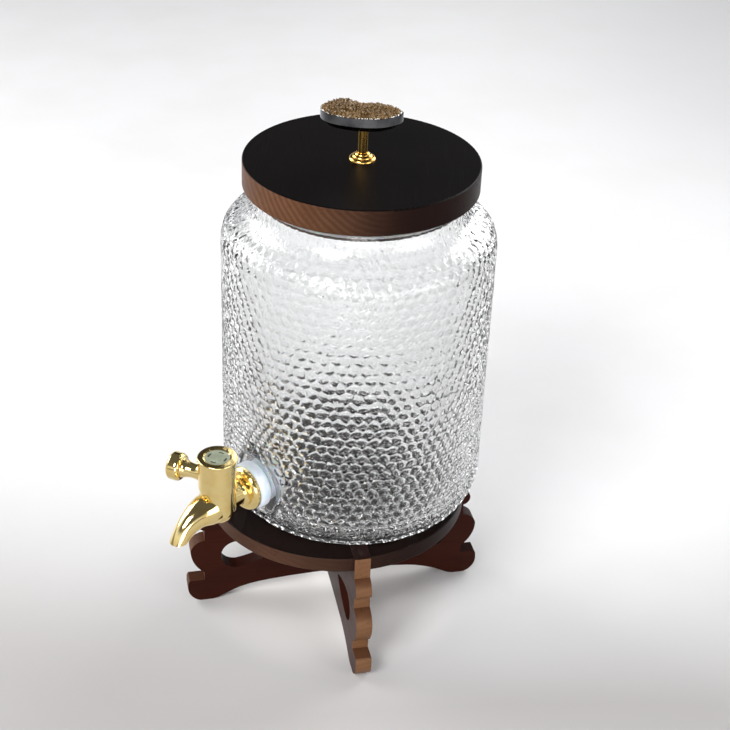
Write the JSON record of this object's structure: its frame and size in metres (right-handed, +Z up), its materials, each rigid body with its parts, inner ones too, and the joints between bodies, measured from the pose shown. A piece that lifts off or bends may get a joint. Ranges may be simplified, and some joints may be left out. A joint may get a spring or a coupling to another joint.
{
  "type": "drink dispenser",
  "caption": "Hammered-glass drink dispenser jar with a quarter-turn tap, on a crossed-board wooden stand, under a wooden lid with a stone knob.",
  "frame": {"origin": "on the stand's axis at table level, midway between the feet", "axes": "+Z up; the leg boards run along X and Y; the tap leaves the jar between the -X and the -Y leg, 147 degrees clockwise from +X"},
  "size_m": [0.2181, 0.2002, 0.3524],
  "materials": {
    "stained_wood": "satin",
    "clear_glass": "hammered",
    "polished_brass": "polished",
    "white_silicone": "satin",
    "white_plastic": "matte",
    "black_rubber": "matte",
    "steel": "satin",
    "grey_plastic": "matte",
    "quartz": "crystalline",
    "silver_plating": "polished"
  },
  "bodies": {
    "stand": {"stand_plate": "stained_wood", "leg_board_lower": "stained_wood", "leg_board_upper": "stained_wood"},
    "jar": {"glass_jar": "clear_glass", "tap_body": "polished_brass", "tap_outer_washer": "white_silicone", "tap_inner_washer": "white_silicone", "tap_nut": "white_plastic", "plug_retaining_ring": "polished_brass"},
    "tap_lever": {"valve_plug": "polished_brass", "plug_o_rings": "black_rubber", "tap_handle": "polished_brass", "handle_screw": "steel", "handle_cap": "grey_plastic"},
    "lid": {"lid_board": "stained_wood", "lid_plug": "stained_wood", "lid_seal": "white_silicone", "lid_washer": "steel", "knob_base": "polished_brass", "knob_stem": "polished_brass", "knob_bolt": "steel", "knob_stone": "quartz", "knob_band": "silver_plating"}
  },
  "joints": [
    {"name": "jar_lift", "type": "slide", "parent": "stand", "child": "jar", "axis": [0, 0, 1], "range_m": [0, 0.08]},
    {"name": "tap_turn", "type": "hinge", "parent": "jar", "child": "tap_lever", "pos_m": [-0.08669, -0.06682, 0.1265], "axis": [0, 0, 1], "range_deg": [-22, 68]},
    {"name": "lid_lift", "type": "slide", "parent": "jar", "child": "lid", "axis": [0, 0, 1], "range_m": [0, 0.05]}
  ]
}
